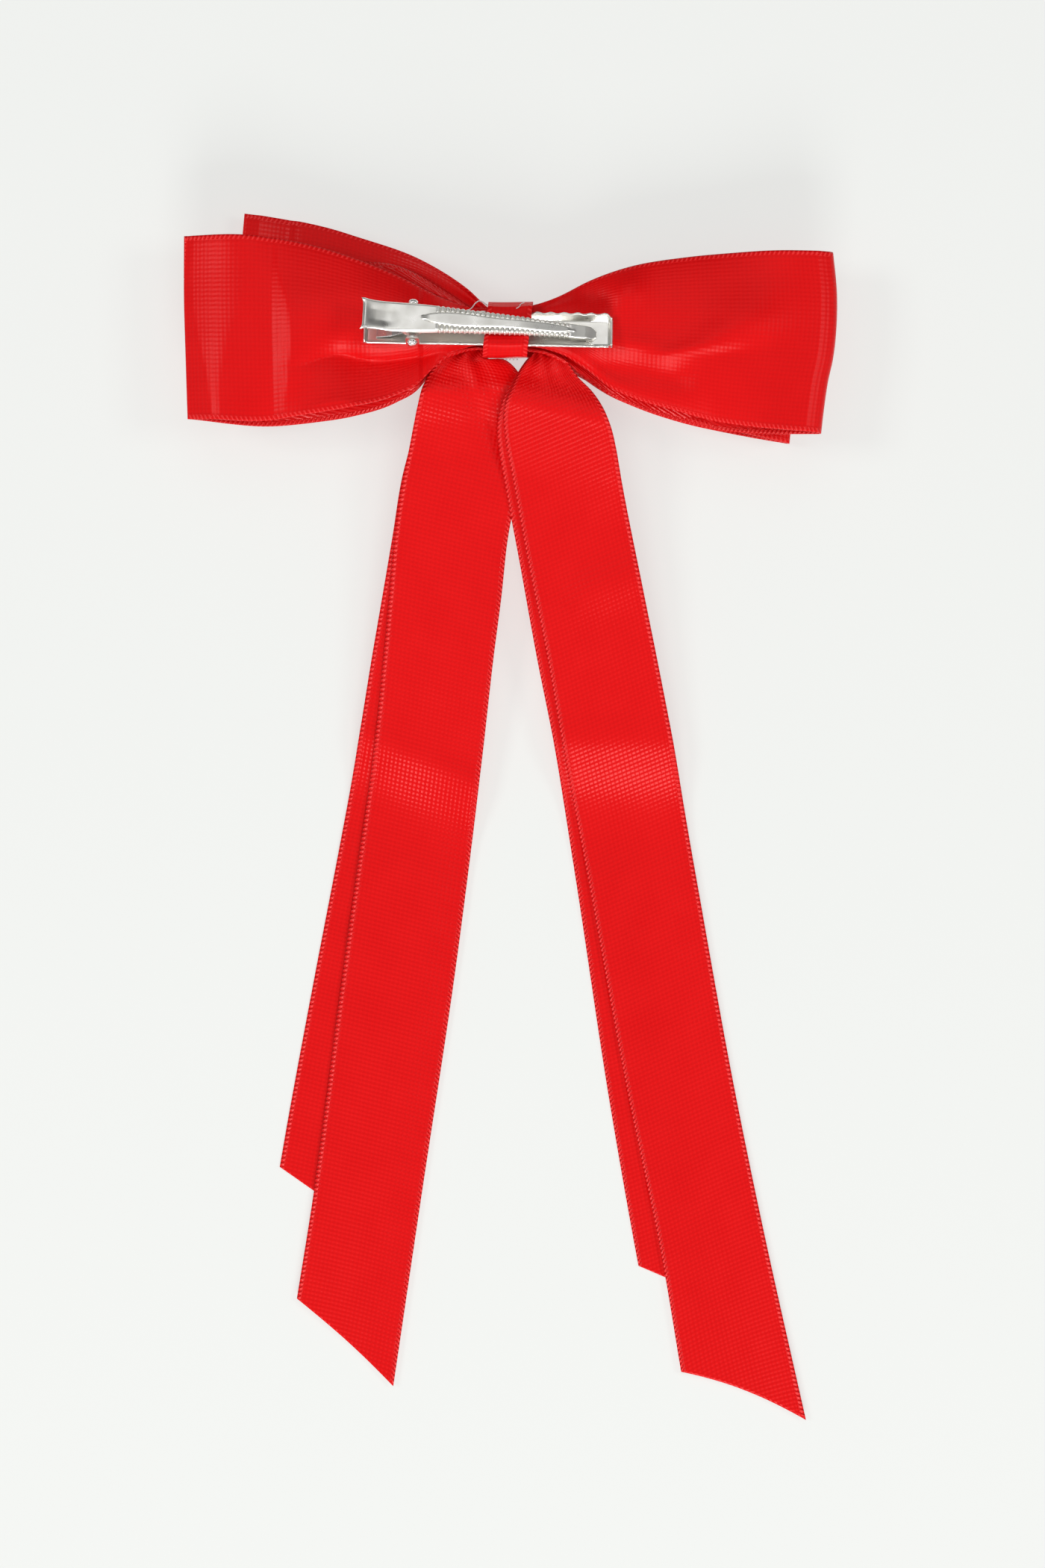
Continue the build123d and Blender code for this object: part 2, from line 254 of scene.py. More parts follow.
def weave_group():
    """Woven ribbon: slanting twill lines, crossing thread dots and a selvage of stitch loops, in
    millimetres. Its Stitch output marks the stitch peaks, for a painted highlight.
    """
    tree = bpy.data.node_groups.new("ribbon_weave", "ShaderNodeTree")
    face = tree.interface
    face.new_socket("Place", in_out="INPUT", socket_type="NodeSocketVector")
    for title, value in (("Half width", 20.0), ("Twill pitch", 0.55), ("Dot pitch", 0.6), ("Dots", 0.5)):
        face.new_socket(title, in_out="INPUT", socket_type="NodeSocketFloat").default_value = value
    for title in ("Height", "Stitch", "Cloud"):
        face.new_socket(title, in_out="OUTPUT", socket_type="NodeSocketFloat")
    ins, outs = node(tree, "NodeGroupInput"), node(tree, "NodeGroupOutput")
    spot = node(tree, "ShaderNodeSeparateXYZ", {0: ins.outputs["Place"]})
    across, along = spot.outputs["X"], spot.outputs["Y"]

    def waves(amount, pitch, turns=1.0):
        """A sine wave over a distance, of the given pitch."""
        part = sums(tree, "DIVIDE", amount, pitch)
        return sums(tree, "SINE", sums(tree, "MULTIPLY", part, 2 * math.pi * turns))

    slant = sums(tree, "SUBTRACT", sums(tree, "MULTIPLY", across, 0.94),
                 sums(tree, "MULTIPLY", along, 0.34))
    twill = waves(slant, ins.outputs["Twill pitch"])
    dash = waves(sums(tree, "ADD", along, sums(tree, "MULTIPLY", across, 0.7)), 1.5)
    twill = sums(tree, "MULTIPLY", twill, sums(tree, "ADD", 0.95, sums(tree, "MULTIPLY", dash, 0.1)))
    dots = sums(tree, "MULTIPLY",
                waves(sums(tree, "SUBTRACT", across, along), ins.outputs["Dot pitch"], 0.5),
                waves(sums(tree, "ADD", across, along), ins.outputs["Dot pitch"], 0.5))
    mixed = node(tree, "ShaderNodeMix", {"Factor": ins.outputs["Dots"], "A": twill, "B": dots})
    edge = sums(tree, "SUBTRACT", ins.outputs["Half width"], sums(tree, "ABSOLUTE", across))
    selvage = node(tree, "ShaderNodeMapRange", {"Value": edge, "From Min": 0.8, "From Max": 1.1,
                                                "To Min": 1.0, "To Max": 0.0}).outputs[0]
    loops = waves(sums(tree, "ADD", along, sums(tree, "MULTIPLY", edge, 0.5)), 1.05)
    band = node(tree, "ShaderNodeMix", {"Factor": selvage, "A": mixed.outputs[0],
                                        "B": sums(tree, "MULTIPLY", loops, 1.8)})
    off_groove = sums(tree, "ABSOLUTE", sums(tree, "SUBTRACT", edge, 1.2))
    groove = sums(tree, "SUBTRACT", 1.0, sums(tree, "MULTIPLY", off_groove, 5.0), clamp=True)
    tree.links.new(sums(tree, "SUBTRACT", band.outputs[0], groove), outs.inputs["Height"])
    tree.links.new(sums(tree, "MULTIPLY", selvage, loops, clamp=True), outs.inputs["Stitch"])
    cloud = node(tree, "ShaderNodeTexNoise", {"Vector": ins.outputs["Place"], "Scale": 0.12, "Detail": 3.0})
    tree.links.new(cloud.outputs["Fac"], outs.inputs["Cloud"])
    return tree


ribbon_weave = weave_group()
TWILL_PITCH, DOT_PITCH = 0.86, 0.98


def ribbon_material(name, half_width, colour, roughness, dots, relief, shine):
    """Red polyester satin. The face is glossy with fine twill; the reverse is duller and dotted."""
    made, tree, shader = blank_material(name)
    place = node(tree, "ShaderNodeUVMap", uv_map="ribbon")
    weave = node(tree, "ShaderNodeGroup", node_tree=ribbon_weave)
    for title, value in (("Half width", half_width), ("Twill pitch", TWILL_PITCH),
                         ("Dot pitch", DOT_PITCH), ("Dots", dots)):
        weave.inputs[title].default_value = value
    tree.links.new(place.outputs["UV"], weave.inputs["Place"])
    # Painted shade: the base colour is darker on the low threads of the weave and lighter on the raised
    # ones; the cloud adds a random tone on top.
    tone = node(tree, "ShaderNodeMapRange",
                {"Value": weave.outputs["Height"], "From Min": -1.6, "From Max": 1.6})
    cloudy = sums(tree, "MULTIPLY", sums(tree, "SUBTRACT", weave.outputs["Cloud"], 0.5), 0.5)
    shaded_cloth = node(tree, "ShaderNodeMix", {"Factor": sums(tree, "ADD", tone.outputs[0], cloudy, clamp=True)},
                 data_type="RGBA")
    shaded_cloth.inputs["A"].default_value = (colour * 0.92, 0.0026, 0.0038, 1)
    shaded_cloth.inputs["B"].default_value = (colour * 1.08, 0.0042, 0.0052, 1)
    # Painted highlight: the peaks of the selvage stitches are painted a lighter pink.
    stitch_highlight = node(tree, "ShaderNodeMix", {"Factor": sums(tree, "MULTIPLY", weave.outputs["Stitch"], 0.45),
                                            "A": shaded_cloth.outputs["Result"]}, data_type="RGBA")
    stitch_highlight.inputs["B"].default_value = (0.90, 0.07, 0.07, 1)
    tree.links.new(stitch_highlight.outputs["Result"], shader.inputs["Base Color"])
    gloss = node(tree, "ShaderNodeMapRange",
                 {"Value": weave.outputs["Cloud"], "From Min": 0.3, "From Max": 0.7,
                  "To Min": roughness - 0.02, "To Max": roughness + 0.03})
    tree.links.new(gloss.outputs[0], shader.inputs["Roughness"])
    bump = node(tree, "ShaderNodeBump",
                {"Height": weave.outputs["Height"], "Strength": 1.0, "Distance": relief * MM})
    tree.links.new(bump.outputs["Normal"], shader.inputs["Normal"])
    shader.inputs["Specular IOR Level"].default_value = shine
    shader.inputs["Specular Tint"].default_value = (1.0, 0.46, 0.45, 1)
    return made


satin_face = ribbon_material("satin_face_40", WIDE / 2, 0.73, 0.26, 0.1, 0.036, 0.42)
satin_inside = ribbon_material("satin_inside_40", WIDE / 2, 0.72, 0.34, 0.9, 0.020, 0.25)

LOOP_ROW, LOOP_COLUMNS = 0.5, 84


def pleats(x, t, depth, reach, folds, phase):
    """Gathering pleats: tight in the knot, deepest just outside it, dying away along the loop."""
    rise = 0.2 + 0.8 * ease(np.abs(x), 4.0, 9.0)
    fade = np.exp(-np.maximum(np.abs(x) - 9, 0) / reach)
    return depth * rise * fade * np.cos(math.pi * folds * t + phase)


def bow_path(end, back, front):
    """The ribbon's (x, z, layer) from the knot round the left loop, over the back, round the right one.

    The layer is 0 on the front, 1 on the back and in between round the end folds.
    """
    run = np.arange(0, end, LOOP_ROW)
    fold = {}
    for side in (-1, 1):
        top, low = back(side * end), front(side * end)
        middle, radius = (top + low) / 2, (top - low) / 2
        fold[side] = [(side * (end + 0.8 * radius * math.sin(a)), middle + radius * math.cos(a),
                       (1 + math.cos(a)) / 2) for a in np.linspace(0, math.pi, 13)[1:-1]]
    path = [(-x, front(-x), 0.0) for x in run]
    path += fold[-1][::-1]
    path += [(x, back(x), 1.0) for x in np.arange(-end, end + 0.01, LOOP_ROW)]
    path += fold[1]
    path += [(x, front(x), 0.0) for x in run[::-1]]
    return np.array(path, float)


def bow_piece(name, path, edges, ends, lift, turn):
    """A gathered two-loop bow between its top and bottom outlines, given for front and back layers."""
    x, z, layer = (path[:, i][:, None] for i in range(3))
    t = np.linspace(-1, 1, LOOP_COLUMNS)[None, :]
    top = edges["front_top"](x) * (1 - layer) + edges["back_top"](x) * layer
    low = edges["front_low"](x) * (1 - layer) + edges["back_low"](x) * layer
    y = low + (top - low) * (t + 1) / 2
    shift = ease(np.abs(x), 30, 72) * np.where(x > 0, ends["right"](y), ends["left"](y))
    spot = np.stack([x + shift, y, z + lift(x, y, t, layer)], axis=-1)
    spin = math.radians(turn)
    about = np.array([[math.cos(spin), -math.sin(spin), 0], [math.sin(spin), math.cos(spin), 0], [0, 0, 1]])
    spot = spot @ about.T
    length = steps(spot)
    piece = grid_piece(name, spot * MM + np.array(KNOT), [satin_face, satin_inside], RIBBON_T,
                       t[0] * WIDE / 2, length)
    return piece, length[-1]


small_back = through((-62, 5.4), (-54, 7.4), (-44, 8.9), (-30, 9.2), (-18, 11.9), (-8, 13.8), (0, 13.9),
                     (8, 13.8), (18, 11.9), (30, 9.2), (44, 8.9), (54, 7.4), (62, 5.4))
small_front = through((-62, 3.6), (-54, 1.7), (-44, 0.4), (-34, 0.5), (-22, 4.6), (-12, 9.8), (-5, 12.5),
                      (0, 12.6), (5, 12.5), (12, 9.8), (22, 4.6), (34, 0.5), (44, 0.4), (54, 1.7), (62, 3.6))
small_top = through((-64, 23.3), (-38.8, 19.9), (-21.4, 15.2), (-10.7, 9.4), (-5, 5.2), (5, 5.2),
                    (14.4, 9.6), (25, 14.6), (42.4, 19.2), (64, 22.3))
small_low = through((-64, -17.7), (-42.4, -15.0), (-25, -10.5), (-14.4, -6.6), (-5, -4.8), (5, -4.8),
                    (14.4, -6.6), (25, -10.5), (42.4, -15.0), (64, -17.7))


def small_lift(x, y, t, layer):
    """Pleats at the knot, loops that drop towards their edges, and the packing crease at the left."""
    far = np.abs(x)
    folded = pleats(x, t, 1.25, 11.0, 5.2, 0.6) * (1 - layer) + pleats(x, t, 0.6, 9.0, 3.4, 0.6) * layer
    drop = -0.4 * layer * np.abs(t) ** 2.2 * ease(far, 12, 26) * (1 - ease(far, 44, 60))
    rise = 1.5 * (1 - layer) * np.abs(t) ** 2.4 * ease(far, 20, 34) * (1 - ease(far, 48, 60))
    crease = layer * (0.9 * ease(x, -52.4, -49.5) - 0.9 * ease(x, -49.5, -32))
    end_line = -0.3 * layer * np.maximum(-x - 58.8, 0)
    return folded + drop + rise + crease + end_line


small_edges = {"front_top": small_top, "back_top": small_top, "front_low": small_low, "back_low": small_low}
straight, longer = through((-30, 0.0), (30, 0.0)), through((-30, 2.9), (30, 2.9))
small_bow, small_length = bow_piece("small_bow", bow_path(62.0, small_back, small_front), small_edges,
                                    {"left": straight, "right": longer}, small_lift, -5.3)
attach(small_bow, "bow")
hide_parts("small_bow_ribbon")

# ---------------------------------------------------------------- large bow
# The same ribbon in longer loops, laid over the small bow with its satin face out. Packing has
# left a soft crease across the left loop, and each loop has sunk into a valley beside the clip.
large_back = through((-71.2, 19.8), (-66, 20.2), (-58, 20.3), (-38, 20.3), (-20, 20.3), (0, 20.2),
                     (20, 20.3), (34, 20.3), (46, 20.5), (58, 20.5), (66, 20.2), (71.2, 19.8))
large_front = through((-71.2, 15.9), (-64, 13.6), (-54, 11.2), (-44, 10.5), (-34, 11.8), (-22, 16.2),
                      (-12, 17.4), (0, 17.6), (12, 17.4), (22, 16.2), (34, 11.8), (44, 10.5), (54, 11.2),
                      (64, 13.6), (71.2, 15.9))
large_edges = {
    "back_top": through(
        (-73, 21.6), (-55.4, 21.0), (-45, 19.4), (-35, 16.4), (-25, 12.4), (-15.7, 7.7), (-9, 5.2), (0, 5.0),
        (5.5, 5.6), (10.3, 7.4), (16.9, 10.9), (26.9, 14.4), (40.2, 16.6), (55, 17.6), (73, 17.6)),
    "back_low": through(
        (-73, -19.3), (-55.4, -20.1), (-45.4, -18.8), (-35.4, -17.2), (-25.5, -14.5), (-20.5, -11.8),
        (-17.2, -8.2), (-14.4, -5.2), (-11, -3.9), (0, -3.6), (8.6, -4.3), (12.6, -5.6), (17.1, -8.4),
        (22, -12.2), (28, -15.0), (36, -17.3), (46, -19.8), (58, -21.6), (73, -22.7)),
    "front_top": through(
        (-73, 21.6), (-58, 21.6), (-43.4, 18.8), (-33.9, 17.2), (-25.5, 15.6), (-19, 12.3), (-13.5, 8.8),
        (-8.5, 5.4), (0, 5.2), (5.5, 5.6), (10.3, 7.4), (16.9, 10.9), (26.9, 14.4), (40.2, 16.6),
        (55, 17.6), (73, 17.6)),
    "front_low": through(
        (-73, -19.3), (-55.4, -20.3), (-45.4, -19.2), (-35.4, -17.8), (-25.5, -15.1), (-20.8, -12.5),
        (-17.8, -9.0), (-15.2, -6.2), (-11.5, -4.7), (0, -4.4), (8.1, -5.1), (11.1, -6.4), (16, -9.8),
        (22, -13.6), (28, -16.0), (36, -18.4), (46, -20.6), (58, -22.0), (73, -22.7)),
}
large_ends = {
    "left": through((-22, 0.9), (-6, 0.4), (8, 0.0), (22, 0.0)),
    "right": through((-23, -3.5), (-17, -2.8), (-11, -1.9), (-6, -0.8), (0, -0.1), (8, 0.1), (18, -0.8)),
}
left_ridge = through((-22, -67.2), (-17.6, -67.3), (-11, -67.9), (-1, -69.8), (9, -71.0), (22, -70.9))
left_band = through((-22, 2.4), (-12, 3.0), (-4, 6.0), (4, 10.0), (12, 13.5), (22, 15.0))
crease_wide = through((-22, 2.4), (-16, 2.6), (-9, 4.0), (0, 4.2), (6, 3.6), (12, 1.8), (22, 1.4))
left_valley = through((-60, -9.0), (-48, -8.2), (-39, -5.4), (-30.5, -6.6), (-20.5, -5.6), (-14.8, -4.4),
                      (-5, -3.0))
right_ridge = through((-8, 34.5), (-5.6, 36.5), (-3.6, 43.5), (0.9, 50.5), (6.4, 53.4), (11, 56.0))


def large_lift(x, y, t, layer):
    """Pleats at the knot, loops that drop towards their edges, and the marks of packing on the back."""
    far = np.abs(x)
    folded = pleats(x, t, 1.1, 11.0, 4.6, 0.9) * (1 - layer) + pleats(x, t, 0.35, 6.0, 3.0, 0.9) * layer
    drop = -2.6 * np.abs(t) ** 2.4 * ease(far, 5, 16) * (1 - ease(far, 44, 64))
    drop *= 1 - 0.85 * layer * ease(-y, 0, 4) * ease(-x, 10, 18) * (1 - ease(-x, 46, 58))

    past = x - left_ridge(y)
    near = np.clip(1 - past / left_band(y), 0, 1)
    left_end = (-0.22 * left_band(y) * near ** 1.5 - 0.6 * np.maximum(-past, 0)) * (x < -40)
    bend = np.clip((x + 52.9) / crease_wide(y), 0, 1)
    crease = (0.34 * crease_wide(y) * bend * (1 - 0.06 * bend) - 0.5 * ease(x, -49.6, -26)) * (x < -20)
    under = y - left_valley(x)
    valley = np.where(under > 0, -3.4 * np.exp(-under / 2.6), np.minimum(-3.4 - 0.42 * under, 1.0))
    valley *= ease(-x, 6, 16) * (1 - ease(-x, 34, 52))

    right_end = -0.34 * np.maximum(x - 69.2, 0)
    beyond = x - right_ridge(y)
    ridge = 1.5 * hill(beyond, 0, np.where(beyond < 0, 8.0, 9.0)) * hill(y, 0.0, 8.0) * ease(x, 26, 36)
    tongue = 0.6 * hill(y + 0.14 * (x - 24), -3.0, 2.4) * ease(x, 17, 24) * (1 - ease(x, 30, 38))
    pocket = -1.4 * hill(y + 0.14 * (x - 24), -8.0, 3.8) * ease(x, 14, 22) * (1 - ease(x, 36, 44))
    shoulder = 1.1 * hill(x - 26 - 0.25 * (y - 9), 0, 4.2) * hill(y, 8.5, 5.0)
    dent = -1.3 * hill(x, 18.5, 4.5) * hill(y, 6.8, 3.2)
    roll = 0.6 * hill(t, -0.88, 0.13) * hill(x, 19, 8)
    waves = 0.15 * np.sin(x / 8.0 + 1.3) * np.cos(y / 7.0)
    clear = 1 - 0.85 * hill(y, 0.8, 3.6) * (1 - ease(np.abs(x + 5), 26, 33))
    by_the_clip = valley + ridge + tongue + pocket + shoulder + dent + roll + waves
    return folded + drop + layer * (left_end + right_end + crease + by_the_clip * clear)


large_bow, large_length = bow_piece("large_bow", bow_path(71.2, large_back, large_front), large_edges,
                                    large_ends, large_lift, 0.0)
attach(large_bow, "bow")
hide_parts("large_bow_ribbon")

# ---------------------------------------------------------------- tails
# Two pairs of 25 mm satin tails that leave the knot by the wrap's side mouths and turn down over
# a crest, cut on the slant. They show their reverse, which is duller and dotted. The packing has
# left a crease across all of them.
TAIL_WIDE = 25.0
tail_reverse = ribbon_material("satin_reverse_25", TAIL_WIDE / 2, 0.74, 0.28, 0.95, 0.044, 0.32)
tail_face = ribbon_material("satin_face_25", TAIL_WIDE / 2, 0.73, 0.26, 0.1, 0.036, 0.42)
TAIL_ROWS, TAIL_COLUMNS = 420, 44


def tail_edges(left, right):
    """A tail's two long edges as matched rows of places, evenly stepped from the knot to the cut."""
    both = np.array([left, right], float)
    walk = np.concatenate([[0], np.cumsum(np.linalg.norm(np.diff(both, axis=1), axis=2).mean(axis=0))])
    rows = np.linspace(0, walk[-1], TAIL_ROWS)
    return [np.stack([through(*zip(walk, edge[:, i]))(rows) for i in (0, 1)], axis=-1) for edge in both]


def tail_piece(name, left, right, height, ripple, cut_bow):
    """A tail between its two edges, with its height along it, its ripples and its slightly bowed cut."""
    a, b = tail_edges(left, right)
    t = np.linspace(0, 1, TAIL_COLUMNS)[None, :]
    flat = a[:, None] * (1 - t[..., None]) + b[:, None] * t[..., None]
    u = np.linspace(0, 1, TAIL_ROWS)[:, None]
    flat[..., 1] += cut_bow * 4 * t * (1 - t) * u ** 12
    x, way = flat[..., 0], -flat[..., 1]
    places = np.concatenate([flat, (height(way, x) + ripple(way, t, x))[..., None]], axis=-1)
    down_left, down_right = (steps(places[:, [k]])[:, None] for k in (0, -1))
    along = down_left * (1 - t) + down_right * t
    piece = grid_piece(name, places[:, ::-1] * MM + np.array(KNOT), [tail_reverse, tail_face], RIBBON_T,
                       (t[0, ::-1] - 0.5) * TAIL_WIDE, along[:, ::-1])
    return piece, max(down_left[-1, 0], down_right[-1, 0])


left_height = through((-6, 14.6), (4, 14.6), (9, 15.2), (13, 16.4), (16, 15.8), (20, 14.6), (25, 13.6),
                      (36, 12.2), (50, 10.3), (70, 7.7), (86, 5.7), (91.3, 5.2), (95, 4.1), (102, 2.2),
                      (108, 1.45), (120, 1.2), (260, 1.15))
right_height = through((-6, 16.3), (4, 16.3), (9, 17.2), (13, 18.7), (15.2, 18.8), (18, 18.0), (24, 16.2),
                       (30, 14.6), (36, 13.5), (50, 11.6), (70, 8.9), (84, 7.2), (92.0, 6.4), (96, 5.2),
                       (104, 2.7), (112, 1.6), (124, 1.3), (260, 1.15))


def left_ripple(way, t, x):
    """The left pair: a pleat down from the knot, a trough right of it, and a long shallow hollow."""
    pleat = 0.7 * hill(x + 9.4 - 0.3 * (way - 5), 0, 1.5) * (1 - ease(way, 9, 20))
    trough = -0.9 * hill(x + 6.0 - 0.5 * (way - 14), 0, 4.5) * ease(way, 8, 14) * (1 - ease(way, 26, 40))
    gather = 0.35 * np.cos(math.pi * 5 * t) * np.exp(-np.maximum(way - 4, 0) / 6.0)
    hollow = 0.3 * np.cos(2 * math.pi * (t - 0.1)) * ease(way, 60, 120)
    return pleat + trough + gather + np.maximum(hollow, -0.25)


def right_ripple(way, t, x):
    """The right pair: the same, with a slanting swell half way to the crease."""
    pleat = 0.6 * hill(x - 7.0 - 0.2 * (way - 5), 0, 1.4) * (1 - ease(way, 8, 15))
    gather = 0.35 * np.cos(math.pi * 5 * t + 1) * np.exp(-np.maximum(way - 4, 0) / 6.0)
    swell = 0.5 * hill(way - 58 + 0.45 * (x - 18), 0, 5.5) * ease(x, 8, 20)
    hollow = 0.3 * np.cos(2 * math.pi * (t - 0.05)) * ease(way, 80, 140)
    return pleat + gather + swell + np.maximum(hollow, -0.25)


def left_top(way, x):
    """The crease runs aslant the left pair."""
    return left_height(way - 0.43 * (x + 31.2) * ease(way, 40, 80))


def right_top(way, x):
    """The crest by the knot runs aslant the right pair."""
    return right_height(way - 0.2 * x * ease(way, 6, 10) * (1 - ease(way, 30, 50)))


def beneath(height, ripple):
    """The height and ripple of the ribbon lying just beneath another."""
    return (lambda way, x: np.maximum(height(way, x) - 0.75, 0.2),
            lambda way, t, x: np.maximum(ripple(way, t, x), -0.05) * 0.9 * (1 - ease(way, 36, 70)))


LEFT_OUTER = [(-4.2, 2.2), (-9.0, -0.4), (-13.6, -4.4), (-17.4, -8.2), (-19.4, -11.8), (-20.6, -16.0),
              (-21.6, -20.5), (-22.5, -25.0)]
LEFT_INNER = [(-4.2, -3.2), (-5.4, -4.4), (-4.7, -5.7), (-1.0, -5.9), (2.0, -8.9), (3.8, -14.0),
              (4.2, -19.5), (3.6, -25.0)]
TAILS = {
    "tail_left_lower": (
        "left_tails", "small_bow_ribbon",
        LEFT_OUTER + [(-24.2, -31.6), (-26.5, -45.0), (-28.9, -58.6), (-31.3, -72.0), (-34.7, -92.0),
                      (-38.8, -114.0), (-44.2, -142.0), (-51.0, -178.5), (-52.7, -188.3)],
        LEFT_INNER + [(2.2, -31.6), (-1.4, -45.0), (-3.9, -58.6), (-6.4, -72.0), (-9.8, -92.0),
                      (-13.8, -114.0), (-19.2, -142.0), (-25.6, -185.0), (-28.5, -205.2)],
        *beneath(left_top, left_ripple), 0.0),
    "tail_left_upper": (
        "left_tails", "tail_left_lower",
        LEFT_OUTER + [(-23.9, -31.4), (-26.0, -45.0), (-27.3, -59.0), (-28.6, -72.0), (-30.8, -92.0),
                      (-34.0, -114.0), (-38.0, -142.4), (-44.8, -193.6), (-48.7, -218.2)],
        LEFT_INNER + [(2.4, -31.4), (-0.4, -45.0), (-2.0, -59.0), (-3.7, -72.0), (-6.0, -92.0),
                      (-8.7, -114.0), (-12.4, -142.4), (-20.6, -197.0), (-26.7, -238.2)],
        left_top, left_ripple, 0.6),
    "tail_right_lower": (
        "right_tails", "tail_left_upper",
        [(4.2, -3.2), (5.3, -4.6), (3.6, -6.2), (1.0, -10.2), (-0.9, -14.0), (-2.2, -17.5), (-2.8, -21.0),
         (-2.5, -25.6), (-1.4, -32.2), (1.9, -49.6), (6.0, -72.0), (9.9, -91.5), (14.5, -119.6),
         (22.7, -173.4), (28.2, -205.0), (29.3, -210.9)],
        [(4.2, 2.2), (8.2, -0.8), (11.2, -4.9), (14.0, -9.9), (17.6, -13.8), (20.2, -18.0), (21.6, -22.0),
         (22.4, -26.0), (23.5, -32.5), (26.8, -49.6), (30.8, -72.0), (34.8, -91.5), (39.4, -119.6),
         (47.5, -173.4), (52.5, -210.0), (54.0, -221.5)],
        *beneath(right_top, right_ripple), 0.0),
    "tail_right_upper": (
        "right_tails", "tail_right_lower",
        [(4.2, -3.2), (5.4, -4.4), (4.2, -5.9), (2.1, -9.2), (0.4, -13.0), (-1.1, -16.6), (-1.4, -20.0),
         (-0.9, -24.5), (0.5, -31.9), (3.8, -49.6), (8.4, -72.3), (11.8, -91.5), (17.2, -119.6),
         (27.2, -173.4), (34.1, -206.2), (39.0, -234.9)],
        [(4.2, 2.2), (8.6, -0.6), (11.6, -4.6), (14.8, -9.5), (18.4, -13.4), (21.0, -17.6), (22.6, -21.6),
         (23.6, -25.5), (24.9, -32.5), (28.4, -49.6), (33.1, -72.0), (37.0, -91.5), (42.0, -119.6),
         (51.8, -173.4), (58.6, -206.2), (67.5, -245.9)],
        right_top, right_ripple, 1.3),
}
for title, (pair, rest, left, right, height, ripple, cut_bow) in TAILS.items():
    tail, tail_length = tail_piece(title.replace("tail", "ribbon"), left, right, height, ripple, cut_bow)
    side = -1 if pair == "left_tails" else 1
    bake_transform(tail)
    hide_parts(title)

# ---------------------------------------------------------------- centre wrap
# A 10 mm satin ribbon wound once round the gathers and the clip's lower jaw. It passes inside
# the jaws, where it bridges the two upright walls, and is glued to itself on the front.
NARROW = 10.0
satin_narrow = ribbon_material("satin_face_10", NARROW / 2, 0.73, 0.34, 1.0, 0.024, 0.2)


def rounded(corners, radii, closed=False, arc_steps=8):
    """A line of straight runs with rounded corners, as points. An open line keeps its two ends."""
    spots = [Vector(c) for c in corners]
    count = len(spots)
    line = [] if closed else [spots[0]]
    for i in range(count) if closed else range(1, count - 1):
        before, here, after = spots[i - 1], spots[i], spots[(i + 1) % count]
        a, b = (before - here).normalized(), (after - here).normalized()
        half = a.angle(b) / 2
        radius = radii[i if closed else i - 1]
        start, stop = here + a * radius / math.tan(half), here + b * radius / math.tan(half)
        centre = here + (a + b).normalized() * radius / math.sin(half)
        for k in range(arc_steps + 1):
            s = k / arc_steps
            chord = (start * (1 - s) + stop * s) - centre
            line.append(centre + chord.normalized() * radius)
    return line if closed else line + [spots[-1]]


def spread(points, gap, closed=False):
    """The same line as evenly spaced points about one gap apart."""
    spots = np.array([tuple(p) for p in points], float)
    if closed:
        spots = np.vstack([spots, spots[:1]])
    walk = np.concatenate([[0], np.cumsum(np.linalg.norm(np.diff(spots, axis=0), axis=1))])
    count = max(3, round(walk[-1] / gap) + 1)
    want = np.linspace(0, walk[-1], count)
    return np.stack([np.interp(want, walk, spots[:, i]) for i in range(spots.shape[1])], axis=-1)


WRAP_STEP = 0.25
wrap_corners = [(-5.0, 11.9), (6.05, 11.9), (6.05, 21.0), (4.6, 23.5), (0.5, 24.2), (-4.1, 25.6),
                (-6.2, 23.0)]
wrap_radii = [1.2, 1.2, 2.5, 0.5, 5.0, 0.7, 1.5]
wrap_line = spread(rounded(wrap_corners, wrap_radii, closed=True), WRAP_STEP, closed=True)[:-1]
t = np.linspace(-1, 1, 24)[None, :]
ring_y, ring_z = wrap_line[:, 0][:, None], wrap_line[:, 1][:, None]
skew = 0.11 * ring_y - 0.45
pucker = 1 + 0.02 * np.cos(2.2 * t + 0.4) * np.sin(ring_y)
swell = 0.08 * np.sin(3 * t + ring_y)
places = np.stack([t * NARROW / 2 * 0.99 + skew, ring_y * pucker, ring_z + swell], axis=-1)
wrap_length = steps(places)
wrap = grid_piece("satin_wrap", places[::-1] * MM + np.array(KNOT), [satin_narrow, satin_inside], RIBBON_T,
                  t[0] * NARROW / 2, np.append(wrap_length, wrap_length[-1] + WRAP_STEP)[::-1], closed=True)
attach(wrap, "bow")
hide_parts("centre_wrap")

# ---------------------------------------------------------------- alligator clip, lower jaw
# A channel pressed from nickel-plated steel strip: flat floor, flared walls with scalloped edges
# that grip the hair, two ears for the hinge pin, and a turned-up lip at each end.
# The clip leans back by its roll, and the prong sits a little askew and aside on its pin.
CLIP_AT = (0.0, -0.85, 21.65)
CLIP_ROLL, CLIP_YAW, PRONG_YAW, PRONG_ASIDE = -14.0, -1.1, -1.4, 0.55
CLIP_FRONT, CLIP_REAR = 22.7, -32.3
PIN_X, PIN_Z, PIN_R = -21.4, 4.6, 0.75
CLIP_STEEL_T = 0.45


def turned(axis, degrees):
    """A turn about one axis as a 4 by 4 matrix."""
    return Matrix.Rotation(math.radians(degrees), 4, axis)


clip_place = Matrix.Translation(KNOT) @ Matrix.Scale(MM, 4) @ Matrix.Translation(CLIP_AT) \
    @ turned("Z", CLIP_YAW) @ turned("X", CLIP_ROLL)
pin_place = clip_place @ Matrix.Translation((PIN_X, 0, PIN_Z))
prong_place = clip_place @ Matrix.Translation((PIN_X, PRONG_ASIDE, PIN_Z)) @ turned("Z", PRONG_YAW)


def placed(matrix, places):
    """Places in a clip part's own millimetres, moved to where the part sits, in metres."""
    turn = np.array(matrix.to_3x3())
    return places @ turn.T + np.array(matrix.translation)


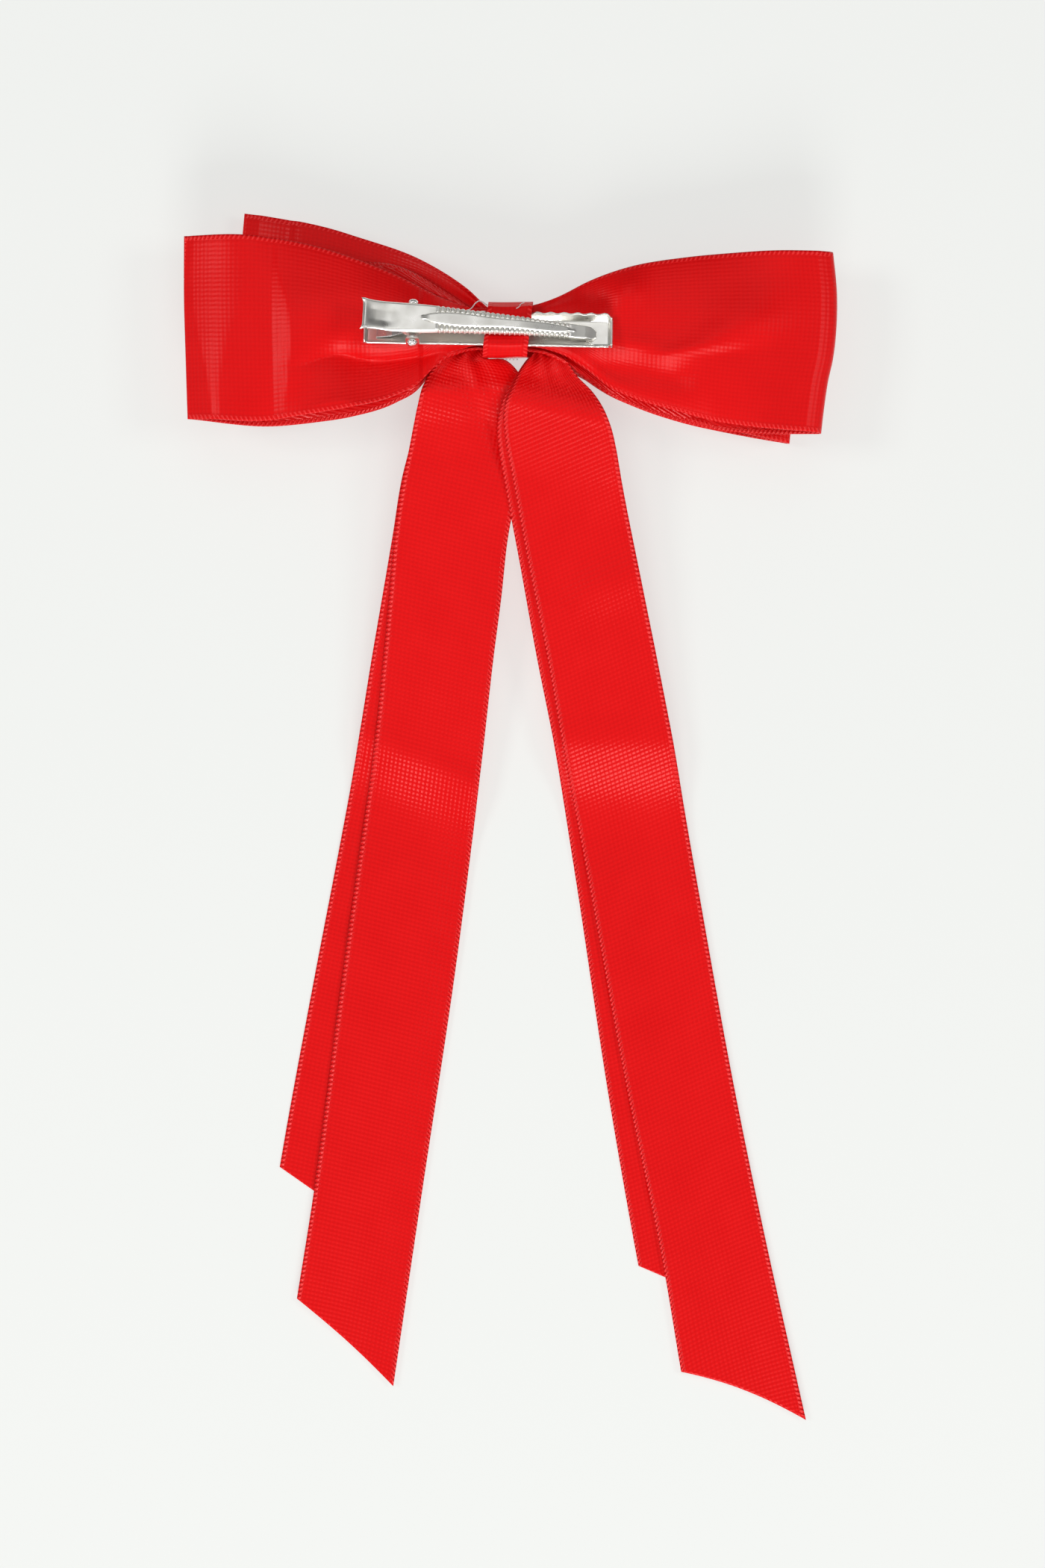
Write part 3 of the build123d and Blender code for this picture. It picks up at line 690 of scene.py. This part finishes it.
def metal_wear_group():
    """Handling marks on plated steel: fine scratches, cloudy smudges and a warm tint in places."""
    tree = bpy.data.node_groups.new("metal_wear", "ShaderNodeTree")
    face = tree.interface
    face.new_socket("Place", in_out="INPUT", socket_type="NodeSocketVector")
    face.new_socket("Smudge size", in_out="INPUT", socket_type="NodeSocketFloat").default_value = 300.0
    for title in ("Smudge", "Scratch"):
        face.new_socket(title, in_out="OUTPUT", socket_type="NodeSocketFloat")
    ins, outs = node(tree, "NodeGroupInput"), node(tree, "NodeGroupOutput")
    smudge = node(tree, "ShaderNodeTexNoise", {"Vector": ins.outputs["Place"],
                                               "Scale": ins.outputs["Smudge size"], "Detail": 4.0})
    stretch = node(tree, "ShaderNodeMapping", {"Vector": ins.outputs["Place"], "Scale": (0.12, 1.0, 1.0)})
    scratch = node(tree, "ShaderNodeTexNoise",
                   {"Vector": stretch.outputs[0], "Scale": 9000.0, "Detail": 2.0})
    tree.links.new(smudge.outputs["Fac"], outs.inputs["Smudge"])
    tree.links.new(scratch.outputs["Fac"], outs.inputs["Scratch"])
    return tree


metal_wear = metal_wear_group()


def steel_material(name, bright, warm, low, high, relief):
    """Plated steel: a bright tone that turns warmer and duller where it has been handled."""
    made, tree, shader = blank_material(name)
    place = node(tree, "ShaderNodeTexCoord")
    wear = node(tree, "ShaderNodeGroup", node_tree=metal_wear)
    tree.links.new(place.outputs["Object"], wear.inputs["Place"])
    mix = node(tree, "ShaderNodeMix", {"Factor": wear.outputs["Smudge"]}, data_type="RGBA")
    mix.inputs["A"].default_value = (*bright, 1)
    mix.inputs["B"].default_value = (*warm, 1)
    tree.links.new(mix.outputs["Result"], shader.inputs["Base Color"])
    gloss = node(tree, "ShaderNodeMapRange", {"Value": wear.outputs["Smudge"], "From Min": 0.3,
                                              "From Max": 0.7, "To Min": low, "To Max": high})
    tree.links.new(gloss.outputs[0], shader.inputs["Roughness"])
    bump = node(tree, "ShaderNodeBump",
                {"Height": wear.outputs["Scratch"], "Strength": relief, "Distance": 0.00002})
    tree.links.new(bump.outputs["Normal"], shader.inputs["Normal"])
    shader.inputs["Metallic"].default_value = 1.0
    return made


nickel = steel_material("nickel_plate", (0.94, 0.93, 0.90), (0.86, 0.84, 0.77), 0.26, 0.42, 0.3)
rivet_steel = steel_material("rivet_plate", (0.94, 0.93, 0.92), (0.86, 0.85, 0.82), 0.18, 0.32, 0.3)
spring_steel = steel_material("spring_strip", (0.80, 0.79, 0.78), (0.68, 0.67, 0.65), 0.22, 0.38, 0.4)

FLOOR_HALF, WALL_FLARE = 3.0, math.radians(20)
WALL_UP, SCALLOP_UP, SCALLOP_PITCH = 2.2, 0.2, 3.0
x = np.arange(CLIP_REAR, CLIP_FRONT + 0.01, 0.2)[:, None]
wave_from, rear_to = PIN_X + 3.4, PIN_X - 2.6
scallops = np.cos(2 * math.pi * (x - wave_from) / SCALLOP_PITCH) * ease(x, wave_from, wave_from + 1.0)
crest = WALL_UP + SCALLOP_UP * scallops
front_drop = 1 - 0.45 * ease(x, CLIP_FRONT - 1.0, CLIP_FRONT)
gap = hill(x, PIN_X - 0.2, 2.0)
wall = np.where(x > PIN_X, crest, 1.5 + 0.7 * ease(x, rear_to, PIN_X)) * front_drop * (1 - 0.5 * gap)
wall *= 0.45 + 0.55 * ease(x, CLIP_REAR, CLIP_REAR + 0.8)
profile = spread(rounded([(-1, 1), (-1, 0), (1, 0), (1, 1)], [0.18, 0.18]), 0.05)
y = profile[:, 0][None, :] * FLOOR_HALF
up = profile[:, 1][None, :]
rise = up * wall
lip = 1.1 * ease(x, CLIP_FRONT - 0.9, CLIP_FRONT) + 0.9 * (1 - ease(x, CLIP_REAR, CLIP_REAR + 0.8))
flat_part = 1 - ease(up, 0.0, 0.4)
places = np.stack([np.broadcast_to(x, (len(x), y.shape[1])),
                   y + np.sign(y) * rise * math.tan(WALL_FLARE),
                   CLIP_STEEL_T / 2 + rise + lip * flat_part], axis=-1)
lower_jaw = grid_piece("lower_jaw", placed(clip_place, places), [nickel], CLIP_STEEL_T)
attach(lower_jaw, "bow")
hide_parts("clip_base")


PLATE_BEVEL = 0.08


def arc(x, z, half_x, half_z, start, stop):
    """Points (x, z) round part of an oval, between two angles."""
    return [(x + half_x * math.cos(a), z + half_z * math.sin(a)) for a in np.linspace(start, stop, 17)]


def pressed_plate(name, outline, middle, thickness, place, material):
    """A flat plate standing along the clip: its outline is (x, z), its middle is at that y."""
    mesh = bmesh.new()
    face = mesh.faces.new([mesh.verts.new((px, middle - thickness / 2, pz)) for px, pz in outline])
    pushed = bmesh.ops.extrude_face_region(mesh, geom=[face])["geom"]
    moved = [v for v in pushed if isinstance(v, bmesh.types.BMVert)]
    bmesh.ops.translate(mesh, verts=moved, vec=(0, thickness, 0))
    bmesh.ops.recalc_face_normals(mesh, faces=mesh.faces)
    sharp = [e for e in mesh.edges if e.calc_face_angle(0) > 1.0]
    bmesh.ops.bevel(mesh, geom=sharp, offset=PLATE_BEVEL, segments=2, affect="EDGES")
    piece = piece_from(name, mesh, material)
    piece.data.transform(place)
    return piece


EAR_Y, EAR_FOOT, EAR_R = 3.75, 1.9, 1.5
ear_outline = [(PIN_X - EAR_R, EAR_FOOT), (PIN_X + EAR_R, EAR_FOOT)]
ear_outline += arc(PIN_X, PIN_Z, EAR_R, EAR_R, 0, math.pi)
for side, title in ((-1, "ear_near"), (1, "ear_far")):
    ear = pressed_plate(title, ear_outline, side * EAR_Y, CLIP_STEEL_T, clip_place, nickel)
    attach(ear, "bow")

# ---------------------------------------------------------------- alligator clip, upper jaw
# The prong is pressed from one strip: a thumb tab with sharp flared corners, cheeks that turn on
# the pin, a raised rib, two rows of pressed teeth and a rounded tip turned down to the floor.
PRONG_ARCH = [(5.0, 1.9), (24.0, 0.1), (38.2, -2.4)]
TOOTH_PITCH = 1.1
spine = spread(rounded([(-10.8, 3.3), (-5.2, 2.0), *PRONG_ARCH, (40.4, -3.7)], [10, 14, 60, 1.2]), 0.12)
sx, sz = spine[:, 0][:, None], spine[:, 1][:, None]
t = np.linspace(-1, 1, 64)[None, :]
half = through((-10.9, 3.5), (-10.0, 3.35), (-4, 3.3), (1, 3.25), (8, 2.8), (20, 2.15), (33, 1.55),
               (38.0, 1.5), (39.6, 1.3), (40.5, 0.55))(sx)
tooth_zone = ease(sx, 5.0, 6.0) * (1 - ease(sx, 33.5, 35.0))
rib_half = through((1.5, 0.1), (5, 0.85), (20, 0.7), (34, 0.35), (36, 0.05))(sx)
yy = t * half
rib = 0.42 * (1 - ease(np.abs(yy), rib_half, rib_half + 0.3)) * ease(sx, 1.5, 4) * (1 - ease(sx, 34, 36))
outer = ease(np.abs(yy), rib_half + 0.3, rib_half + 0.45) * tooth_zone
teeth = 0.26 * outer * np.clip(1.8 * np.cos(2 * math.pi * sx / TOOTH_PITCH) - 0.1, -1, 1)
edge_roll = -0.5 * ease(np.abs(t), 0.86, 1.0) * ease(sx, -8.5, 4.0) - 0.25 * ease(np.abs(t), 0.92, 1.0)
tab_dish = -0.3 * (1 - ease(np.abs(t), 0.3, 0.9)) * ease(sx, -10.4, -8.0) * (1 - ease(sx, -8.0, -2.0))
end_roll = -0.35 * (1 - ease(sx, -10.9, -10.3))
horn = -0.55 * np.abs(t) ** 8 * (1 - ease(sx, -10.9, -9.4))
places = np.stack([sx + horn, yy * (1 + 0.06 * np.abs(t) ** 8 * (1 - ease(sx, -10.9, -9.6))),
                   sz + rib + teeth + edge_roll + tab_dish + end_roll - horn * 0.4], axis=-1)
prong = grid_piece("upper_jaw", placed(prong_place, places), [nickel], CLIP_STEEL_T)
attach(prong, "prong")
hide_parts("clip_prong")

CHEEK_Y, CHEEK_HALF = 2.85, 2.2
cheek_outline = [(CHEEK_HALF, 1.75), (-CHEEK_HALF, 1.75)]
cheek_outline += arc(0, 0.9, CHEEK_HALF, 2.4, math.pi, 2 * math.pi)
for side, title in ((-1, "cheek_near"), (1, "cheek_far")):
    cheek = pressed_plate(title, cheek_outline, side * CHEEK_Y, CLIP_STEEL_T, prong_place, nickel)
    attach(cheek, "prong")

# ---------------------------------------------------------------- hinge pin and spring
# A soft steel rivet through both pairs of ears, its ends peened into domes, and a strip of spring
# steel coiled round it that pushes the thumb tab away from the lower jaw. The strip's upper leg
# is a piece of its own here, so that it turns with the tab.
PIN_HALF, HEAD_IN, HEAD_R = 5.4, 4.3, 1.15


def lathe_piece(name, outline, place, material, sides=40):
    """A turned piece about the hinge axis: its outline is (distance along, radius)."""
    angles = np.linspace(0, 2 * math.pi, sides, endpoint=False)
    mesh = bmesh.new()
    rings = [[mesh.verts.new((r * math.cos(a), d, r * math.sin(a))) for a in angles] for d, r in outline]
    for one, two in zip(rings, rings[1:]):
        for i in range(sides):
            k = (i + 1) % sides
            mesh.faces.new((one[i], one[k], two[k], two[i])).smooth = True
    mesh.faces.new(rings[0][::-1])
    mesh.faces.new(rings[-1])
    bmesh.ops.recalc_face_normals(mesh, faces=mesh.faces)
    piece = piece_from(name, mesh, material)
    piece.data.transform(place)
    return piece


dome = [(PIN_HALF + 0.05, 0.25), (PIN_HALF, 0.6), (PIN_HALF - 0.15, 0.9), (PIN_HALF - 0.45, HEAD_R),
        (HEAD_IN + 0.1, HEAD_R), (HEAD_IN, HEAD_R - 0.08), (HEAD_IN, PIN_R)]
pin_outline = [(-d, r) for d, r in dome] + dome[::-1]
rivet = lathe_piece("hinge_rivet", pin_outline, pin_place, rivet_steel)
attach(rivet, "bow")
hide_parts("hinge_pin")

SPRING_T, SPRING_HALF, COIL_SPREAD = 0.24, 1.5, 0.2


def coil(start, stop, radius):
    """Part of the coil round the pin between two angles in degrees; it widens with each turn."""
    angles = np.arange(start, stop + 1, 8)
    reach = radius + COIL_SPREAD * angles / 360
    return list(zip(reach * np.cos(np.radians(angles)), reach * np.sin(np.radians(angles))))


def spring_piece(name, strip, body, drift):
    """A strip of spring steel through (x, z) points about the pin, drifting sideways as it goes."""
    line = spread(strip, 0.15)
    t = np.linspace(-1, 1, 16)[None, :]
    along, up = (np.broadcast_to(line[:, i][:, None], (len(line), 16)) for i in (0, 1))
    aside = t * SPRING_HALF + np.linspace(*drift, len(line))[:, None]
    places = placed(prong_place, np.stack([along, aside, up], axis=-1))
    made = grid_piece(name, places, [spring_steel], SPRING_T)
    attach(made, body)
    return made


low_leg, high_leg = [(-8.0, -3.75), (-4.6, -3.3), (-1.6, -1.5)], [(-3.2, 1.55), (-7.4, 1.75)]
spring = spring_piece("coiled_spring", low_leg + coil(255, 800, 0.85), "bow", (-1.3, 0.2))
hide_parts("clip_spring")
spring_piece("spring_leg", coil(760, 816, 1.06) + high_leg, "prong", (0.2, 0.3))

# ---------------------------------------------------------------- glue and thread
# A bead of hot glue beds the leaning clip on the knot. The gathering thread goes round under
# the wrap; one loose end stands out beside it and a snipped bit lies on the wrap.


def glue_material():
    """Set hot glue, milky and slightly see-through."""
    made, tree, shader = blank_material("set_glue")
    cloud = node(tree, "ShaderNodeTexNoise", {"Scale": 900.0, "Detail": 3.0})
    tint = node(tree, "ShaderNodeValToRGB", {"Fac": cloud.outputs["Fac"]})
    tint.color_ramp.elements[0].color = (0.70, 0.64, 0.56, 1)
    tint.color_ramp.elements[1].color = (0.88, 0.86, 0.82, 1)
    tree.links.new(tint.outputs["Color"], shader.inputs["Base Color"])
    bump = node(tree, "ShaderNodeBump",
                {"Height": cloud.outputs["Fac"], "Strength": 0.3, "Distance": 0.0001})
    tree.links.new(bump.outputs["Normal"], shader.inputs["Normal"])
    shader.inputs["Roughness"].default_value = 0.3
    shader.inputs["Subsurface Weight"].default_value = 0.3
    return made


glue_low, glue_high = (np.array(c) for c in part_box("glue_pad"))
mesh = bmesh.new()
bmesh.ops.create_cube(mesh, size=1.0)
bmesh.ops.subdivide_edges(mesh, edges=mesh.edges, cuts=6, use_grid_fill=True)
for vert in mesh.verts:
    spot = np.array(vert.co)
    round_off = 1 - 0.25 * max(0.0, np.linalg.norm(spot[:2]) * 2 - 0.9)
    wobble = 0.03 * math.sin(19 * spot[0] + 3) + 0.03 * math.cos(15 * spot[1])
    lean = glue_low[2] + (glue_high[2] - glue_low[2]) * (spot[2] + 0.5) * (0.55 - 0.42 * spot[1])
    x, y = ((glue_low + glue_high) / 2 + spot * round_off * (1 + wobble) * (glue_high - glue_low))[:2]
    vert.co = (x, y, lean)
for face in mesh.faces:
    face.smooth = True
glue = piece_from("glue_bead", mesh, glue_material())
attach(glue, "bow")
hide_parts("glue_pad")


def thread_material():
    """Fine clear-white thread with a slight twist."""
    made, tree, shader = blank_material("clear_thread")
    place = node(tree, "ShaderNodeTexCoord")
    ply = node(tree, "ShaderNodeTexWave",
               {"Vector": place.outputs["Object"], "Scale": 900.0, "Distortion": 1.0})
    tint = node(tree, "ShaderNodeValToRGB", {"Fac": ply.outputs["Fac"]})
    tint.color_ramp.elements[0].color = (0.72, 0.60, 0.60, 1)
    tint.color_ramp.elements[1].color = (0.92, 0.88, 0.88, 1)
    tree.links.new(tint.outputs["Color"], shader.inputs["Base Color"])
    bump = node(tree, "ShaderNodeBump",
                {"Height": ply.outputs["Fac"], "Strength": 0.4, "Distance": 0.00003})
    tree.links.new(bump.outputs["Normal"], shader.inputs["Normal"])
    shader.inputs["Roughness"].default_value = 0.35
    shader.inputs["Transmission Weight"].default_value = 0.3
    return made


clear_thread = thread_material()
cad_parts["binding_thread"].data.materials.clear()
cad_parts["binding_thread"].data.materials.append(clear_thread)


def settled_curve(made):
    """A curve piece turned into its mesh."""
    graph = bpy.context.evaluated_depsgraph_get()
    data = bpy.data.meshes.new_from_object(made.evaluated_get(graph))
    for face in data.polygons:
        face.use_smooth = True
    piece = bpy.data.objects.new(made.name + "_end", data)
    bpy.data.objects.remove(made)
    bpy.context.collection.objects.link(piece)
    return piece


def thread_bit(name, route, radius):
    """A short end of thread as a tube through given points."""
    curve = bpy.data.curves.new(name, "CURVE")
    curve.dimensions = "3D"
    curve.bevel_depth = radius * MM
    curve.bevel_resolution = 3
    spline = curve.splines.new("NURBS")
    spline.points.add(len(route) - 1)
    for point, spot in zip(spline.points, route):
        point.co = (*at(*spot), 1)
    spline.order_u = 3
    spline.use_endpoint_u = True
    curve.use_fill_caps = True
    made = bpy.data.objects.new(name, curve)
    bpy.context.collection.objects.link(made)
    curve.materials.append(clear_thread)
    piece = settled_curve(made)
    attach(piece, "bow")


thread_bit("thread_loop", [(-5.0, 5.2, 21.6), (-6.4, 6.4, 22.0), (-7.6, 5.8, 22.2), (-8.6, 4.3, 21.8),
                           (-9.6, 4.1, 21.4)], 0.13)
thread_bit("thread_snip", [(1.4, 4.2, 24.0), (2.2, 4.5, 24.3), (2.3, 5.3, 23.6), (3.2, 5.6, 23.3)], 0.1)
